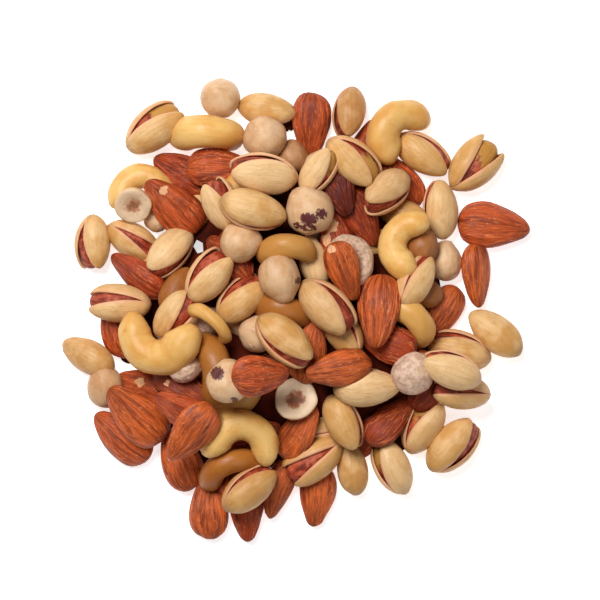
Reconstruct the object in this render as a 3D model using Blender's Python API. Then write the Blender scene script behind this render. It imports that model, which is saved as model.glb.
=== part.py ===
"""A heap of mixed nuts, poured out on a flat surface: almonds in their skins, pistachios in
split shells, cashews and skinned hazelnuts, with two hazelnuts cut in half.

The heap is one solid. Every nut that shows is laid by hand on a layout grid and then dropped
by a rule onto whatever lies under it, so its height and its lean follow from the layout.
Origin: middle of the base, on the surface. +Z is up. Units are metres.
"""

import math
import random
from collections import namedtuple

import bmesh
import bpy
import numpy as np
from mathutils import Matrix, Vector

# Driving sizes of the four kinds of nut
MM = 0.001
ALMOND = (23.6 * MM, 13.9 * MM, 8.4 * MM)  # length, width, thickness
PISTACHIO = (21.8 * MM, 12.6 * MM, 11.6 * MM)  # length, width along the split, across it
SHELLS_PART = -0.36  # where the two shells part, as a share of the length from the middle
CASHEW_BEND_RADIUS = 8.0 * MM
CASHEW_THICKNESS = 10.2 * MM
CASHEW_HALF_SWEEP = math.radians(80)
CASHEW_MIDDLE = 0.62  # where the nut's own middle lies inside the bend, as a share of its radius
HAZELNUT = (14.4 * MM, 13.8 * MM, 13.8 * MM)

# The layout grid: 600 steps across, x to the right and y down, centred on the heap
GRID_STEP = 0.34 * MM
GRID_CENTRE = (295.5, 309.8)

# The rise under the nuts, and the hidden layer that carries the nuts in view
MOUND_RADIUS = 42 * MM
MOUND_HEIGHT = 7 * MM
CARPET_COUNT = 34
CARPET_RADIUS = 49 * MM
CARPET_SIZE = 0.92
CARPET_SEED = 7
CARPET_KINDS = ("almond", "almond", "pistachio", "almond", "hazelnut", "almond", "cashew")
GOLDEN_ANGLE = math.radians(137.508)
CLEAR_SPOTS = ((199, 247), (121, 366), (116, 251), (291, 137), (236, 116), (414, 205))
CLEAR_REACH = 32  # grid steps

# How nuts settle
FIELD_HALF = 95  # half width of the height field, in cells of one millimetre
SQUEEZE = 0.92  # share of a nut's size that its neighbours feel
SINK_SHARE = 0.88  # share of a nut's footprint that clears what it lies on
FLOOR_SINK = 0.3 * MM
MOST_SLOPE = 0.36
LEAN_SHARE = 0.7

# The core that backs the nuts
CORE_EDGE = 63 * MM
CORE_SPOKES = 20
CORE_RINGS = 7
CORE_SPREAD = 6  # cells of the height field around a point that set the core's height there
CORE_COVER = 5.5 * MM  # how far the nuts around a point stand out of the core on average
CORE_LIP = 2 * MM

GRAIN = 1.0 * MM  # the fused skin is rebuilt on a lattice of this step
FACETS = 9200
FLOOR_DEPTH = 3 * MM

# Facets: flat sides lie inside a curve, so the shapes are made a little fuller
FACET_ALLOWANCE = 1.03
KERNEL_GAPE = 13  # degrees between the shells from which the kernel shows

SKIN_COLOUR = (0.50, 0.24, 0.12, 1.0)

# level, x, y, turn, roll, size, width: turn is where the pointed end looks, anticlockwise
ALMONDS = (
    (1, 311, 126, -93, 0, 0.97, 1.00),
    (1, 493, 226, -6, 10, 1.06, 1.06),
    (1, 397, 181, 128, 0, 0.95, 1.05),
    (1, 184, 175, 150, 0, 1.00, 1.00),
    (2, 220, 168, 0, 0, 0.96, 1.05),
    (2, 174, 207, 136, 0, 1.05, 1.02),
    (1, 139, 275, 145, 25, 0.95, 0.94),
    (1, 123, 323, 100, 0, 1.00, 1.15),
    (2, 344, 271, -72, 22, 0.90, 0.92),
    (1, 336, 236, 104, 0, 0.92, 0.95),
    (1, 476, 275, -87, 45, 0.95, 0.88),
    (1, 441, 315, 240, 25, 0.95, 0.92),
    (3, 378, 311, -93, 0, 1.08, 1.00),
    (1, 386, 342, 158, 10, 0.92, 1.02),
    (2, 338, 368, 192, 18, 0.98, 0.95),
    (1, 309, 352, 78, 0, 0.92, 1.00),
    (2, 261, 374, 4, 0, 0.86, 1.15),
    (2, 137, 414, 137, 0, 1.10, 1.05),
    (1, 122, 436, 140, 12, 1.00, 1.02),
    (1, 148, 388, 160, 10, 0.95, 1.00),
    (1, 184, 385, -35, 12, 0.95, 1.00),
    (1, 184, 410, 150, 0, 0.92, 0.95),
    (2, 193, 431, 233, 8, 1.00, 1.05),
    (1, 180, 459, 112, 0, 0.95, 1.05),
    (1, 209, 507, 92, 0, 0.92, 1.04),
    (1, 247, 508, -89, 8, 0.97, 0.92),
    (1, 279, 488, -108, 48, 0.92, 0.90),
    (1, 317, 495, -96, 0, 0.90, 1.02),
    (1, 299, 431, 55, 12, 0.92, 0.98),
    (1, 390, 420, 42, 30, 0.94, 0.88),
    (1, 360, 217, -62, 0, 0.95, 1.00),
    (1, 337, 188, -70, 0, 0.92, 1.00),
    (1, 229, 259, 135, 0, 0.90, 0.95),
    (1, 366, 146, 70, 0, 0.80, 0.90),
    (1, 430, 388, 50, 0, 0.80, 0.90),
    (1, 236, 474, 80, 0, 0.80, 0.90),
)

# level, x, y, turn, roll, pitch, gape, size: turn is where the open tip looks, roll is how far
# the split turns from straight up to the left of that, gape is the angle between the shells
PISTACHIOS = (
    (1, 154, 129, 40, 46, 0, 22, 1.04),
    (1, 267, 110, -8, 90, 0, 0, 0.92),
    (1, 349, 113, -100, -74, 14, 24, 0.86),
    (2, 422, 154, -32, 58, 0, 14, 0.98),
    (1, 473, 166, 47, -8, 0, 27, 0.99),
    (1, 440, 210, 96, 68, 0, 12, 0.95),
    (3, 386, 192, 230, 74, 34, 15, 1.00),
    (2, 352, 161, -38, 28, 0, 24, 0.98),
    (1, 318, 173, 52, -66, 0, 16, 0.82),
    (3, 264, 175, 172, -45, 0, 17, 1.08),
    (3, 253, 211, -14, -80, 0, 8, 1.08),
    (2, 222, 206, 106, -58, 16, 22, 0.88),
    (1, 93, 242, -93, -48, 0, 25, 0.88),
    (2, 132, 240, -32, 10, 0, 16, 0.88),
    (2, 171, 252, -130, 62, 0, 16, 0.98),
    (1, 177, 290, 60, 90, 0, 0, 0.80),
    (2, 121, 303, 176, 0, 0, 16, 0.98),
    (2, 177, 316, 50, -16, 0, 22, 0.92),
    (2, 209, 277, 54, 30, 0, 26, 0.96),
    (2, 89, 356, 150, 90, 0, 0, 0.93),
    (3, 241, 299, 45, 35, 0, 24, 0.94),
    (3, 284, 339, -44, -65, 0, 12, 1.08),
    (3, 326, 306, -45, 30, 0, 18, 1.08),
    (2, 342, 330, 120, -20, 0, 14, 0.92),
    (2, 414, 282, 62, 24, 0, 7, 0.95),
    (1, 495, 333, 142, 90, 0, 0, 1.02),
    (1, 459, 350, 162, -60, 0, 14, 1.04),
    (2, 450, 369, 160, -54, 0, 17, 0.98),
    (1, 461, 391, 172, -12, 0, 12, 0.95),
    (1, 366, 387, 3, 90, 0, 0, 1.05),
    (2, 249, 488, 38, 66, 0, 12, 1.00),
    (2, 314, 459, 212, -6, 0, 21, 1.00),
    (3, 343, 421, -62, 50, 0, 14, 0.94),
    (1, 352, 468, 100, 90, 0, 0, 0.87),
    (1, 392, 467, 118, 55, 0, 18, 0.93),
    (1, 422, 425, 66, 55, 0, 20, 0.98),
    (1, 452, 446, 45, -52, 0, 20, 1.03),
    (1, 314, 262, 105, 90, 0, 0, 0.85),
    (1, 200, 216, 100, 90, 0, 0, 0.80),
    (1, 402, 214, -10, 90, 0, 0, 0.80),
)

# level, x, y, turn, roll, size, thickness: the hollow side looks to turn minus a quarter turn
CASHEWS = (
    (2, 395, 127, 45, -22, 0.94, 1.12),
    (1, 141, 184, 6, 12, 0.89, 0.95),
    (3, 158, 347, 169, 0, 1.13, 1.04),
    (1, 285, 250, 5, -75, 0.82, 0.98),
    (1, 284, 309, -15, -75, 0.88, 1.00),
    (1, 357, 257, -60, 10, 0.80, 0.75),
    (3, 400, 243, 76, 0, 0.93, 1.02),
    (1, 412, 320, -50, -60, 0.86, 1.02),
    (2, 214, 322, -42, -88, 0.88, 0.50),
    (1, 213, 366, -75, -75, 1.00, 1.00),
    (3, 243, 433, -10, 0, 1.10, 0.92),
    (1, 230, 465, 20, -62, 0.96, 0.82),
    (2, 209, 134, -3, -80, 1.00, 1.05),
)

# level, x, y, turn, pitch, size, length: turn is where the pointed end looks
HAZELNUTS = (
    (1, 220, 98, 140, 50, 0.98, 1.00),
    (2, 265, 138, 90, 60, 1.08, 1.00),
    (3, 309, 211, 120, 40, 1.16, 1.02),
    (2, 242, 243, 0, 10, 0.98, 1.00),
    (1, 257, 333, 150, 20, 0.90, 1.00),
    (1, 412, 372, 60, 20, 1.02, 1.06),
    (1, 229, 380, 90, 20, 1.02, 1.02),
    (1, 445, 261, 92, 0, 0.82, 1.16),
    (1, 106, 386, 100, 14, 0.92, 1.14),
    (1, 186, 366, 0, 0, 0.80, 1.00),
    (1, 208, 320, 60, 0, 0.74, 1.00),
    (3, 280, 279, -78, 10, 1.02, 1.14),
    (1, 292, 157, 90, 0, 0.80, 1.00),
    (1, 422, 246, 60, 0, 0.82, 1.00),
    (1, 158, 218, 30, 0, 0.68, 1.00),
    (1, 428, 294, 0, 0, 0.72, 1.00),
)

# level, x, y, turn, pitch, size: half nuts that lie with the cut face up
HAZELNUT_HALVES = (
    (2, 134, 207, 60, 12, 0.92),
    (3, 296, 398, 48, 0, 1.04),
)

# kind, level, x, y, turn, roll, pitch, size, and one more number: an almond's width, how many
# degrees a pistachio gapes, a cashew's thickness or a hazelnut's length
Nut = namedtuple("Nut", "kind level x y turn roll pitch size extra")


def nuts_in_view():
    """Every nut that shows, lowest level first."""
    nuts = [Nut("almond", *row[:5], 0, *row[5:]) for row in ALMONDS]
    nuts += [Nut("pistachio", *row[:6], row[7], row[6]) for row in PISTACHIOS]
    nuts += [Nut("cashew", *row[:5], 0, *row[5:]) for row in CASHEWS]
    nuts += [Nut("hazelnut", *row[:4], 0, *row[4:]) for row in HAZELNUTS]
    nuts += [Nut("half", *row[:4], 0, *row[4:], 1) for row in HAZELNUT_HALVES]
    return sorted(nuts, key=lambda nut: nut.level)


def hidden_nuts():
    """The bottom layer, spread like sunflower seeds, clear of where the surface shows through."""
    draw = random.Random(CARPET_SEED)
    nuts = []
    for index in range(CARPET_COUNT):
        reach = CARPET_RADIUS / GRID_STEP * math.sqrt((index + 0.5) / CARPET_COUNT)
        x = GRID_CENTRE[0] + reach * math.cos(index * GOLDEN_ANGLE)
        y = GRID_CENTRE[1] - reach * math.sin(index * GOLDEN_ANGLE)
        turn, roll = draw.uniform(0, 360), draw.uniform(-20, 20)
        if min(math.hypot(x - clear_x, y - clear_y) for clear_x, clear_y in CLEAR_SPOTS) < CLEAR_REACH:
            continue
        kind = CARPET_KINDS[index % len(CARPET_KINDS)]
        extra = 0 if kind == "pistachio" else 1
        nuts.append(Nut(kind, 0, x, y, turn, roll, 0, CARPET_SIZE, extra))
    return nuts


def felt_by_neighbours(nut):
    """What a nut's neighbours feel: ellipsoids, each a middle and three half sizes."""
    size = nut.size
    if nut.kind == "almond":
        return [((0, 0, 0), (ALMOND[0] * size / 2, ALMOND[1] * size * nut.extra / 2, ALMOND[2] * size / 2))]
    if nut.kind == "pistachio":
        length, wide, across = (side * size / 2 for side in PISTACHIO)
        return [((0, 0, 0), (length, across, wide))]
    if nut.kind == "hazelnut":
        length, wide, high = (side * size / 2 for side in HAZELNUT)
        return [((0, 0, 0), (length * nut.extra, wide, high))]
    if nut.kind == "half":
        length, wide, high = (side * size / 2 for side in HAZELNUT)
        return [((0, 0, -high / 2), (length, wide, high / 2))]
    bend = CASHEW_BEND_RADIUS * size
    fat = CASHEW_THICKNESS * size * nut.extra / 2
    blobs = []
    for share in (-1, -0.4, 0.4, 1):
        angle = CASHEW_HALF_SWEEP * share
        middle = (math.sin(angle) * bend, (math.cos(angle) - CASHEW_MIDDLE) * bend, 0)
        blobs.append((middle, (fat * 1.15, fat * 1.15, fat)))
    return blobs


# The height field: the top of everything laid so far, on cells of one millimetre

CELLS = np.arange(-FIELD_HALF, FIELD_HALF + 1) * MM
FIELD_X, FIELD_Y = np.meshgrid(CELLS, CELLS, indexing="ij")


def spans(blobs, turned, place, shrink):
    """Lowest and highest z of the ellipsoids over each cell, measured from the nut's middle."""
    low = np.full(FIELD_X.shape, np.inf)
    high = np.full(FIELD_X.shape, -np.inf)
    for middle, halves in blobs:
        offset = turned @ np.array(middle)
        inverse = turned @ np.diag(1 / (np.array(halves) * shrink) ** 2) @ turned.T
        dx = FIELD_X - place[0] - offset[0]
        dy = FIELD_Y - place[1] - offset[1]
        across = inverse[0, 2] * dx + inverse[1, 2] * dy
        flat = inverse[0, 0] * dx**2 + 2 * inverse[0, 1] * dx * dy + inverse[1, 1] * dy**2
        inside = across**2 - inverse[2, 2] * (flat - 1)
        root = np.sqrt(np.clip(inside, 0, None))
        there = inside > 0
        low = np.where(there, np.minimum(low, offset[2] - (across + root) / inverse[2, 2]), low)
        high = np.where(there, np.maximum(high, offset[2] + (root - across) / inverse[2, 2]), high)
    return low, high


def lean_on(field, covered):
    """The turn that lays a nut along the slope of what it covers."""
    x, y, z = FIELD_X[covered], FIELD_Y[covered], field[covered]
    plane = np.stack([x, y, np.ones_like(x)], axis=1)
    slope = np.linalg.lstsq(plane, z, rcond=None)[0][:2] * LEAN_SHARE
    steep = float(np.hypot(*slope))
    if steep > MOST_SLOPE:
        slope = slope * MOST_SLOPE / steep
    normal = Vector((-slope[0], -slope[1], 1)).normalized()
    return Vector((0, 0, 1)).rotation_difference(normal).to_matrix()


def settle(field, nut):
    """Drops a nut on what lies under it, raises the field and returns the matrix that places it."""
    place = ((nut.x - GRID_CENTRE[0]) * GRID_STEP, (GRID_CENTRE[1] - nut.y) * GRID_STEP)
    blobs = felt_by_neighbours(nut)
    own = (
        Matrix.Rotation(math.radians(nut.turn), 3, "Z")
        @ Matrix.Rotation(-math.radians(nut.pitch), 3, "Y")
        @ Matrix.Rotation(-math.radians(nut.roll), 3, "X")
    )
    low, _ = spans(blobs, np.array(own), place, SQUEEZE)
    turned = lean_on(field, np.isfinite(low)) @ own
    low, high = spans(blobs, np.array(turned), place, SQUEEZE)
    whole_low, _ = spans(blobs, np.array(turned), place, 1.0)
    covered = np.isfinite(low)
    on_nuts = float(np.quantile(field[covered] - low[covered], SINK_SHARE))
    on_floor = -float(whole_low.min()) - FLOOR_SINK
    lift = max(on_nuts, on_floor)
    field[covered] = np.maximum(field[covered], high[covered] + lift)
    return Matrix.Translation((*place, lift)) @ turned.to_4x4()


def settled_heap():
    """Each nut with the matrix that places it, hidden ones first, and the height of the heap."""
    reach = np.hypot(FIELD_X, FIELD_Y) / MOUND_RADIUS
    field = MOUND_HEIGHT * np.clip(1 - reach**2, 0, None)
    laid = [(nut, settle(field, nut)) for nut in hidden_nuts() + nuts_in_view()]
    return laid, field


# Shapes of single nuts, each in its own frame with its long axis along X


def ball(sides, rings):
    """A new bmesh with a faceted ball of radius 1 in it, its poles on X."""
    bm = bmesh.new()
    bmesh.ops.create_uvsphere(bm, u_segments=sides, v_segments=rings, radius=FACET_ALLOWANCE)
    bmesh.ops.rotate(bm, verts=bm.verts[:], matrix=Matrix.Rotation(math.pi / 2, 3, "Y"))
    return bm


def egg(bm, length, width, thickness, taper):
    """Shapes the unit ball: taper narrows the +X end."""
    for vert in bm.verts:
        x, y, z = vert.co
        narrow = 1 - taper * x
        vert.co = Vector((x * length / 2, y * narrow * width / 2, z * narrow * thickness / 2))
    return bm


def almond(size, width):
    return egg(ball(14, 9), ALMOND[0] * size, ALMOND[1] * size * width, ALMOND[2] * size, 0.22)


def hazelnut(size, length):
    return egg(ball(14, 9), HAZELNUT[0] * size * length, HAZELNUT[1] * size, HAZELNUT[2] * size, 0.08)


def hazelnut_half(size, length):
    """Half a hazelnut, cut along its length, cut face up."""
    bm = hazelnut(size, length)
    keep_side(bm, Vector((0, 0, 1)), Vector((0, 0, 0)))
    return bm


def keep_side(bm, normal, point):
    """Cuts the mesh with a plane, drops what lies beyond it and closes the cut."""
    cut = bmesh.ops.bisect_plane(
        bm,
        geom=bm.verts[:] + bm.edges[:] + bm.faces[:],
        plane_co=point,
        plane_no=normal,
        clear_outer=True,
    )
    rim = [item for item in cut["geom_cut"] if isinstance(item, bmesh.types.BMEdge)]
    bmesh.ops.holes_fill(bm, edges=rim, sides=0)


def pistachio(size, gape):
    """Two half shells that open like a book from the base, with the kernel between them."""
    length, width, across = (side * size for side in PISTACHIO)
    hinge = Vector((SHELLS_PART * length, 0, 0))
    whole = bmesh.new()
    sides = (1, -1) if gape else (0,)
    for side in sides:
        half = egg(ball(14, 9), length, across, width, 0.06)
        if side:
            keep_side(half, Vector((0, -side, 0)), Vector((0, 0, 0)))
            turn = Matrix.Rotation(side * math.radians(gape) / 2, 3, "Z")
            bmesh.ops.rotate(half, verts=half.verts[:], cent=hinge, matrix=turn)
        merge(whole, half)
    if gape >= KERNEL_GAPE:
        kernel = egg(ball(10, 7), length * 0.86, across * 0.84, width * 0.90, 0.05)
        merge(whole, kernel)
    return whole


def cashew(size, thickness):
    """A ball drawn out along an arc, fatter at one end."""
    bend = CASHEW_BEND_RADIUS * size
    fat = CASHEW_THICKNESS * size * thickness / 2
    end_angle = CASHEW_HALF_SWEEP + fat / bend
    bm = bmesh.new()
    bmesh.ops.create_uvsphere(bm, u_segments=12, v_segments=16, radius=1)
    for vert in bm.verts:
        out, up, along = vert.co
        angle = end_angle * along * (1 + 0.12 * (1 - along * along))
        full = math.sqrt(max(1e-9, 1 - along * along))
        blunt = FACET_ALLOWANCE * full**-0.42 * (1 - 0.12 * along)
        radius = bend + out * fat * blunt
        x, y = math.sin(angle) * radius, math.cos(angle) * radius - CASHEW_MIDDLE * bend
        vert.co = Vector((x, y, up * fat * blunt))
    bmesh.ops.recalc_face_normals(bm, faces=bm.faces[:])
    return bm


SHAPES = {
    "almond": almond,
    "pistachio": pistachio,
    "cashew": cashew,
    "hazelnut": hazelnut,
    "half": hazelnut_half,
}


def merge(whole, piece):
    """Moves a bmesh into another and frees it."""
    mesh = bpy.data.meshes.new("piece")
    piece.to_mesh(mesh)
    piece.free()
    whole.from_mesh(mesh)
    bpy.data.meshes.remove(mesh)


# One solid out of all of them


def clear_scene():
    for obj in list(bpy.data.objects):
        bpy.data.objects.remove(obj)


def mean_around(field):
    """The height field with each cell at the mean of those around it."""
    for axis in (0, 1):
        shifted = [np.roll(field, step, axis) for step in range(-CORE_SPREAD, CORE_SPREAD + 1)]
        field = np.mean(shifted, axis=0)
    return field


def core_object(field, material):
    """The core under the nuts: a flat base, and a top that stays below what shows."""
    field = mean_around(field) - CORE_COVER
    bm = bmesh.new()
    centre = bm.verts.new((0, 0, -FLOOR_DEPTH))
    top = bm.verts.new((0, 0, float(field[FIELD_HALF, FIELD_HALF])))
    rings = []
    for ring in range(CORE_RINGS + 1):
        reach = CORE_EDGE * (ring + 1) / (CORE_RINGS + 1)
        row = []
        for spoke in range(CORE_SPOKES):
            angle = math.tau * spoke / CORE_SPOKES
            x, y = reach * math.cos(angle), reach * math.sin(angle)
            cell = field[round(x / MM) + FIELD_HALF, round(y / MM) + FIELD_HALF]
            height = max(float(cell), CORE_LIP)
            row.append(bm.verts.new((x, y, -FLOOR_DEPTH if ring == CORE_RINGS else height)))
        rings.append(row)
    for spoke in range(CORE_SPOKES):
        after = (spoke + 1) % CORE_SPOKES
        bm.faces.new((top, rings[0][spoke], rings[0][after]))
        for inner, outer in zip(rings, rings[1:]):
            bm.faces.new((inner[spoke], outer[spoke], outer[after], inner[after]))
        bm.faces.new((centre, rings[-1][after], rings[-1][spoke]))
    bmesh.ops.triangulate(bm, faces=bm.faces[:])
    return new_object("nut_heap", bm, material, bpy.context.scene.collection)


def new_object(name, bm, material, collection):
    mesh = bpy.data.meshes.new(name)
    bm.to_mesh(mesh)
    bm.free()
    mesh.materials.append(material)
    obj = bpy.data.objects.new(name, mesh)
    collection.objects.link(obj)
    return obj


def nut_material():
    material = bpy.data.materials.new("nut_skin")
    material.use_nodes = True
    shader = material.node_tree.nodes["Principled BSDF"]
    shader.inputs["Base Color"].default_value = SKIN_COLOUR
    shader.inputs["Roughness"].default_value = 0.55
    shader.inputs["Metallic"].default_value = 0.0
    return material


def apply_boolean(core, operation, others):
    """Joins every object in the collection to the core, or cuts it off, and removes it."""
    modifier = core.modifiers.new("fuse", "BOOLEAN")
    modifier.operation = operation
    modifier.operand_type = "COLLECTION"
    modifier.collection = others
    modifier.solver = "MANIFOLD" if operation == "UNION" else "EXACT"
    bpy.context.view_layer.objects.active = core
    bpy.ops.object.modifier_apply(modifier=modifier.name)
    for obj in list(others.objects):
        bpy.data.objects.remove(obj)
    bpy.data.collections.remove(others)


def new_collection(name):
    collection = bpy.data.collections.new(name)
    bpy.context.scene.collection.children.link(collection)
    return collection


def drop_scraps(obj):
    """Keeps the largest body, because fusing can leave small ones that touch nothing."""
    bm = bmesh.new()
    bm.from_mesh(obj.data)
    left = set(bm.verts)
    bodies = []
    while left:
        body = {left.pop()}
        edge = set(body)
        while edge:
            edge = {link.other_vert(vert) for vert in edge for link in vert.link_edges} - body
            body |= edge
        left -= body
        bodies.append(body)
    largest = max(bodies, key=len)
    bmesh.ops.delete(bm, geom=[vert for vert in bm.verts if vert not in largest], context="VERTS")
    bm.to_mesh(obj.data)
    bm.free()


def rebuild_skin(obj):
    """Closes the hair cracks between fused nuts and brings the skin down to few facets."""
    lattice = obj.modifiers.new("lattice", "REMESH")
    lattice.mode = "VOXEL"
    lattice.voxel_size = GRAIN
    bpy.context.view_layer.objects.active = obj
    bpy.ops.object.modifier_apply(modifier=lattice.name)
    drop_scraps(obj)
    thin = obj.modifiers.new("thin", "DECIMATE")
    thin.decimate_type = "COLLAPSE"
    thin.ratio = FACETS / sum(len(face.vertices) - 2 for face in obj.data.polygons)
    thin.use_collapse_triangulate = True
    bpy.ops.object.modifier_apply(modifier=thin.name)


def floor_slab(material, collection):
    """What lies below the surface that the heap rests on."""
    bm = bmesh.new()
    bmesh.ops.create_cube(bm, size=1)
    bmesh.ops.scale(bm, verts=bm.verts[:], vec=Vector((4 * CORE_EDGE, 4 * CORE_EDGE, 4 * FLOOR_DEPTH)))
    bmesh.ops.translate(bm, verts=bm.verts[:], vec=Vector((0, 0, -2 * FLOOR_DEPTH)))
    return new_object("slab", bm, material, collection)


def main():
    clear_scene()
    material = nut_material()
    laid, field = settled_heap()
    nuts = new_collection("nuts")
    for number, (nut, place) in enumerate(laid):
        if nut.level:
            bm = SHAPES[nut.kind](nut.size, nut.extra)
            bm.transform(place)
            new_object(f"nut_{number}", bm, material, nuts)
    core = core_object(field, material)
    bpy.context.view_layer.update()
    apply_boolean(core, "UNION", nuts)
    rebuild_skin(core)
    below = new_collection("below")
    floor_slab(material, below)
    apply_boolean(core, "DIFFERENCE", below)
    drop_scraps(core)


main()
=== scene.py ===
"""Dresses the heap of mixed nuts: every nut as its own shape, the mound under them and the stage.

The nuts lie where the solid heap has them, because the same layout is settled by the same rule.
Units are metres and +Z is up. The photograph looks straight down, with its top at +Y.
"""

import functools
import math
import random
from collections import defaultdict, namedtuple
from contextlib import contextmanager

import bpy
import numpy as np
from mathutils import Matrix, Vector


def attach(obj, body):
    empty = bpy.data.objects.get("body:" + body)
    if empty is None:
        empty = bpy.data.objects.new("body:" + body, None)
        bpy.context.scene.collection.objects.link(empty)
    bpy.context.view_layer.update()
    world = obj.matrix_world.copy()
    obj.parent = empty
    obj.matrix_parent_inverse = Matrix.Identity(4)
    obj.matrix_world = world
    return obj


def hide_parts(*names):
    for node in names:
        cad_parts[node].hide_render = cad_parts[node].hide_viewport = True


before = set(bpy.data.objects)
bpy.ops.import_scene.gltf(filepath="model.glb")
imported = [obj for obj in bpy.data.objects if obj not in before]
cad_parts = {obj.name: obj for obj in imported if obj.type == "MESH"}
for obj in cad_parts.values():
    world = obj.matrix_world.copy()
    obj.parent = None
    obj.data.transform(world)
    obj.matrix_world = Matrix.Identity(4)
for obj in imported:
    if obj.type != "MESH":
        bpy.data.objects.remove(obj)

bl_info = {
    "name": "Heap of Mixed Nuts",
    "version": (1, 0, 0),
    "blender": (4, 5, 0),
    "location": "3D View > Sidebar > Nuts",
    "description": "Almonds, split pistachios, cashews and hazelnuts in one poured heap",
    "category": "Object",
}

NODE = "nut_heap"
BODY = "root"

# Driving sizes of the four kinds of nut
MM = 0.001
ALMOND = (23.6 * MM, 13.9 * MM, 8.4 * MM)  # length, width, thickness
PISTACHIO = (21.8 * MM, 12.6 * MM, 11.6 * MM)  # length, width along the split, across it
SHELLS_PART = -0.36  # where the two shells part, as a share of the length from the middle
CASHEW_BEND_RADIUS = 8.0 * MM
CASHEW_THICKNESS = 10.2 * MM
CASHEW_HALF_SWEEP = math.radians(80)
CASHEW_MIDDLE = 0.62  # where the nut's own middle lies inside the bend, as a share of its radius
HAZELNUT = (14.4 * MM, 13.8 * MM, 13.8 * MM)
# Length, width and height of a nut as it lies
LYING_SIZES = {
    "almond": ALMOND,
    "pistachio": (PISTACHIO[0], PISTACHIO[2], PISTACHIO[1]),
    "hazelnut": HAZELNUT,
    "half": HAZELNUT,
}

# The layout grid: 600 steps across, x to the right and y down, centred on the heap
GRID_STEP = 0.34 * MM
GRID_CENTRE = (295.5, 309.8)

# The rise under the nuts, and the hidden layer that carries the nuts in view
MOUND_RADIUS = 42 * MM
MOUND_HEIGHT = 7 * MM
CARPET_COUNT = 34
CARPET_RADIUS = 49 * MM
CARPET_SIZE = 0.92
CARPET_SEED = 7
CARPET_KINDS = ("almond", "almond", "pistachio", "almond", "hazelnut", "almond", "cashew")
GOLDEN_ANGLE = math.radians(137.508)
CLEAR_SPOTS = ((199, 247), (121, 366), (116, 251), (291, 137), (236, 116), (414, 205))
CLEAR_REACH = 32  # grid steps

# How nuts settle
FIELD_HALF = 95  # half width of the height field, in cells of one millimetre
SQUEEZE = 0.92  # share of a nut's size that its neighbours feel
SINK_SHARE = 0.88  # share of a nut's footprint that clears what it lies on
FLOOR_SINK = 0.3 * MM
MOST_SLOPE = 0.36
LEAN_SHARE = 0.7

# level, x, y, turn, roll, size, width: turn is where the pointed end looks, anticlockwise
ALMONDS = (
    (1, 311, 126, -93, 0, 0.97, 1.00),
    (1, 493, 226, -6, 10, 1.06, 1.06),
    (1, 397, 181, 128, 0, 0.95, 1.05),
    (1, 184, 175, 150, 0, 1.00, 1.00),
    (2, 220, 168, 0, 0, 0.96, 1.05),
    (2, 174, 207, 136, 0, 1.05, 1.02),
    (1, 139, 275, 145, 25, 0.95, 0.94),
    (1, 123, 323, 100, 0, 1.00, 1.15),
    (2, 344, 271, -72, 22, 0.90, 0.92),
    (1, 336, 236, 104, 0, 0.92, 0.95),
    (1, 476, 275, -87, 45, 0.95, 0.88),
    (1, 441, 315, 240, 25, 0.95, 0.92),
    (3, 378, 311, -93, 0, 1.08, 1.00),
    (1, 386, 342, 158, 10, 0.92, 1.02),
    (2, 338, 368, 192, 18, 0.98, 0.95),
    (1, 309, 352, 78, 0, 0.92, 1.00),
    (2, 261, 374, 4, 0, 0.86, 1.15),
    (2, 137, 414, 137, 0, 1.10, 1.05),
    (1, 122, 436, 140, 12, 1.00, 1.02),
    (1, 148, 388, 160, 10, 0.95, 1.00),
    (1, 184, 385, -35, 12, 0.95, 1.00),
    (1, 184, 410, 150, 0, 0.92, 0.95),
    (2, 193, 431, 233, 8, 1.00, 1.05),
    (1, 180, 459, 112, 0, 0.95, 1.05),
    (1, 209, 507, 92, 0, 0.92, 1.04),
    (1, 247, 508, -89, 8, 0.97, 0.92),
    (1, 279, 488, -108, 48, 0.92, 0.90),
    (1, 317, 495, -96, 0, 0.90, 1.02),
    (1, 299, 431, 55, 12, 0.92, 0.98),
    (1, 390, 420, 42, 30, 0.94, 0.88),
    (1, 360, 217, -62, 0, 0.95, 1.00),
    (1, 337, 188, -70, 0, 0.92, 1.00),
    (1, 229, 259, 135, 0, 0.90, 0.95),
    (1, 366, 146, 70, 0, 0.80, 0.90),
    (1, 430, 388, 50, 0, 0.80, 0.90),
    (1, 236, 474, 80, 0, 0.80, 0.90),
)

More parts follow.
